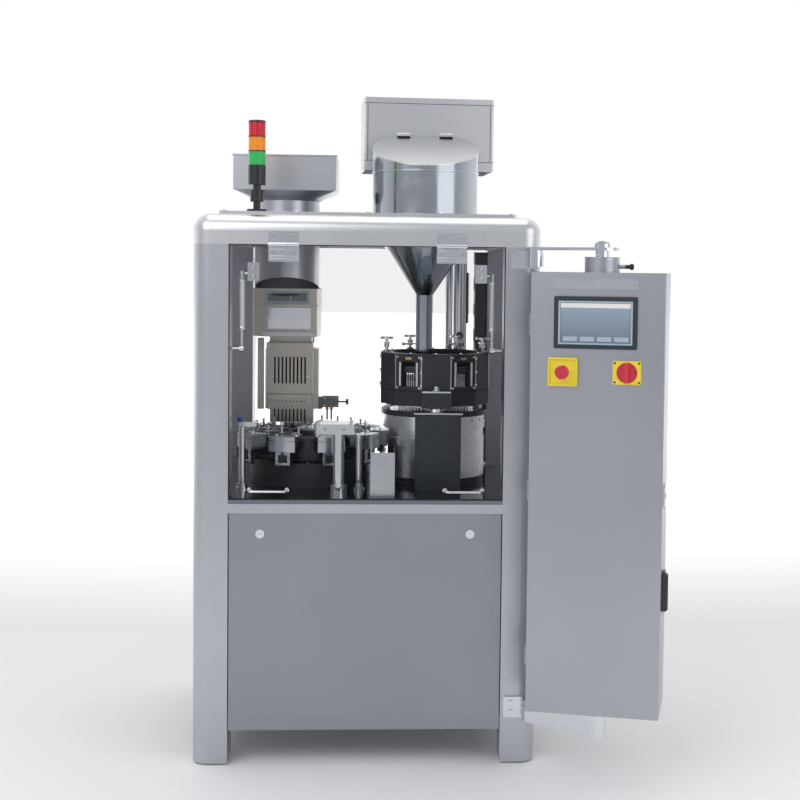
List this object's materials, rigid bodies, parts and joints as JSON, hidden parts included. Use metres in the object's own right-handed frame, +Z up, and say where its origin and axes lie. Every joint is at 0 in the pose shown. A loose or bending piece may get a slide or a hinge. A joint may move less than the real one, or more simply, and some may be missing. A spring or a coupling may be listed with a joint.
{
  "type": "capsule filler",
  "caption": "Floor-standing capsule filling machine: indexing turret, powder dosing unit and capsule magazine behind a lift-up window, with a swing-out control cabinet.",
  "frame": {"origin": "middle of the whole machine's box at rest, on the floor; the cabinet stands out to the right", "axes": "+Z up, the operator stands at -Y looking along +Y, +X to the operator's right"},
  "size_m": [1.3921, 1.1276, 2.042],
  "materials": {
    "stainless": "fine brushed stainless sheet",
    "panel_steel": "satin stainless door sheet",
    "mirror_steel": "mirror-polished stainless",
    "table_steel": "dark polished steel table",
    "warm_steel": "ground tool steel",
    "black_metal": "black anodised aluminium",
    "slate_metal": "slate anodised aluminium",
    "segment_metal": "polished aluminium bronze segments",
    "clear_acrylic": "clear acrylic sheet",
    "tinted_acrylic": "smoked acrylic sheet",
    "black_plastic": "moulded black plastic",
    "yellow_plastic": "moulded yellow plastic",
    "red_plastic": "moulded red plastic",
    "red_lens": "ribbed red lens",
    "amber_lens": "ribbed amber lens",
    "green_lens": "ribbed green lens",
    "screen_glass": "dark display glass",
    "bezel_plastic": "slate moulded bezel",
    "cast_grey": "painted castings",
    "gear_plastic": "moulded electrical modules"
  },
  "bodies": {
    "frame": {"corner_posts": "stainless", "top_ring": "stainless", "top_plate": "stainless", "table_plate": "table_steel", "frame_rails": "stainless", "lower_panels": "panel_steel", "fixed_windows": "tinted_acrylic", "window_fittings": "mirror_steel", "station_rings": "black_metal", "dosing_drum": "mirror_steel", "front_cover": "slate_metal", "powder_hopper": "mirror_steel", "sight_glass": "screen_glass", "auger_drive": "stainless", "feeder_box": "stainless", "capsule_hopper": "stainless", "capsule_chute": "warm_steel", "station_posts": "mirror_steel", "discharge_chute": "stainless", "signal_stem": "black_plastic", "signal_green": "green_lens", "signal_amber": "amber_lens", "signal_red": "red_lens", "arm_brackets": "mirror_steel", "drive_motor": "cast_grey", "indexers": "black_metal", "vacuum_pump": "cast_grey"},
    "window": {"front_window": "clear_acrylic", "window_hinges": "mirror_steel", "window_handles": "mirror_steel"},
    "strut_rod": {"strut_rods": "mirror_steel"},
    "strut_tube": {"strut_tubes": "stainless"},
    "lock_left": {"panel_lock_left": "mirror_steel"},
    "lock_right": {"panel_lock_right": "mirror_steel"},
    "turret": {"turret_drum": "black_metal", "lower_segments": "segment_metal", "upper_segments": "segment_metal"},
    "dosing_disc": {"dosing_disc": "mirror_steel"},
    "camshaft": {"camshaft": "stainless"},
    "tamping_head": {"tamping_head": "slate_metal", "tamping_knobs": "mirror_steel", "tamping_pins": "mirror_steel"},
    "magazine": {"magazine_body": "warm_steel", "magazine_front": "warm_steel", "capsule_rake": "warm_steel", "blow_unit": "gear_plastic"},
    "hopper_lid": {"hopper_lid": "stainless"},
    "auger": {"auger": "stainless"},
    "arm": {"cabinet_arms": "mirror_steel"},
    "cabinet": {"cabinet_body": "stainless", "control_gear": "gear_plastic"},
    "cabinet_door": {"cabinet_door": "stainless", "hmi_panel": "bezel_plastic", "hmi_screen": "screen_glass", "name_plate": "mirror_steel", "switch_plates": "yellow_plastic"},
    "estop": {"estop_button": "red_plastic"},
    "main_switch": {"switch_knob": "red_plastic"},
    "door_handle": {"cabinet_handle": "black_plastic"},
    "door_lock": {"cabinet_lock": "mirror_steel"}
  },
  "joints": [
    {"name": "window_lift", "type": "hinge", "parent": "frame", "child": "window", "pos_m": [-0.186, -0.302, 1.54], "axis": [-1, 0, 0], "range_deg": [0, 85]},
    {"name": "strut_swing", "type": "hinge", "parent": "frame", "child": "strut_rod", "pos_m": [-0.186, -0.261, 1.234], "axis": [1, 0, 0], "range_deg": [0, 25.5]},
    {"name": "strut_extend", "type": "slide", "parent": "strut_rod", "child": "strut_tube", "axis": [0, 0, 1], "range_m": [0, 0.0645]},
    {"name": "lock_turn_left", "type": "hinge", "parent": "frame", "child": "lock_left", "pos_m": [-0.496, -0.296, 0.691], "axis": [0, 1, 0], "range_deg": [0, 90]},
    {"name": "lock_turn_right", "type": "hinge", "parent": "frame", "child": "lock_right", "pos_m": [0.122, -0.296, 0.691], "axis": [0, 1, 0], "range_deg": [0, 90]},
    {"name": "turret_spin", "type": "hinge", "parent": "frame", "child": "turret", "pos_m": [-0.372, 0.134, 0.9], "axis": [0, 0, 1], "continuous": true},
    {"name": "dosing_spin", "type": "hinge", "parent": "frame", "child": "dosing_disc", "pos_m": [0.026, 0.134, 1], "axis": [0, 0, 1], "continuous": true},
    {"name": "camshaft_spin", "type": "hinge", "parent": "frame", "child": "camshaft", "pos_m": [-0.186, 0.134, 0.42], "axis": [1, 0, 0], "continuous": true},
    {"name": "tamping_slide", "type": "slide", "parent": "frame", "child": "tamping_head", "axis": [0, 0, 1], "range_m": [0, 0.02]},
    {"name": "magazine_slide", "type": "slide", "parent": "frame", "child": "magazine", "axis": [0, 0, 1], "range_m": [0, 0.015]},
    {"name": "lid_hinge", "type": "hinge", "parent": "frame", "child": "hopper_lid", "pos_m": [-0.01, 0.254, 1.915], "axis": [-1, 0, 0], "range_deg": [0, 100]},
    {"name": "auger_spin", "type": "hinge", "parent": "frame", "child": "auger", "pos_m": [-0.01, 0.114, 1.4], "axis": [0, 0, 1], "continuous": true},
    {"name": "arm_swing", "type": "hinge", "parent": "frame", "child": "arm", "pos_m": [0.302, -0.328, 0.8], "axis": [0, 0, -1], "range_deg": [0, 15]},
    {"name": "cabinet_swivel", "type": "hinge", "parent": "arm", "child": "cabinet", "pos_m": [0.486, -0.406, 0.8], "axis": [0, 0, -1], "range_deg": [0, 5]},
    {"name": "door_hinge", "type": "hinge", "parent": "cabinet", "child": "cabinet_door", "pos_m": [0.28288, -0.4046, 0.8], "axis": [0, 0, -1], "range_deg": [0, 90]},
    {"name": "estop_press", "type": "slide", "parent": "cabinet_door", "child": "estop", "axis": [0.2504, 0.9681, 0], "range_m": [0, 0.005], "stiffness_N_per_m": 600},
    {"name": "main_switch_turn", "type": "hinge", "parent": "cabinet_door", "child": "main_switch", "pos_m": [0.54125, -0.53184, 1.191], "axis": [0.2504, 0.9681, 0], "range_deg": [0, 90]},
    {"name": "door_handle_pull", "type": "hinge", "parent": "cabinet_door", "child": "door_handle", "pos_m": [0.65923, -0.51897, 0.573], "axis": [0, 0, 1], "range_deg": [0, 30]},
    {"name": "door_lock_turn", "type": "hinge", "parent": "cabinet_door", "child": "door_lock", "pos_m": [0.65192, -0.52328, 0.845], "axis": [0.9681, -0.2504, 0], "range_deg": [0, 90]}
  ],
  "couplings": [
    {"joint": "strut_swing", "follows": "window_lift", "ratio": 0.2981},
    {"joint": "strut_extend", "follows": "window_lift", "m_per_rad": 0.04334},
    {"joint": "dosing_spin", "follows": "turret_spin", "ratio": -1.6667},
    {"joint": "camshaft_spin", "follows": "turret_spin", "ratio": 10}
  ]
}
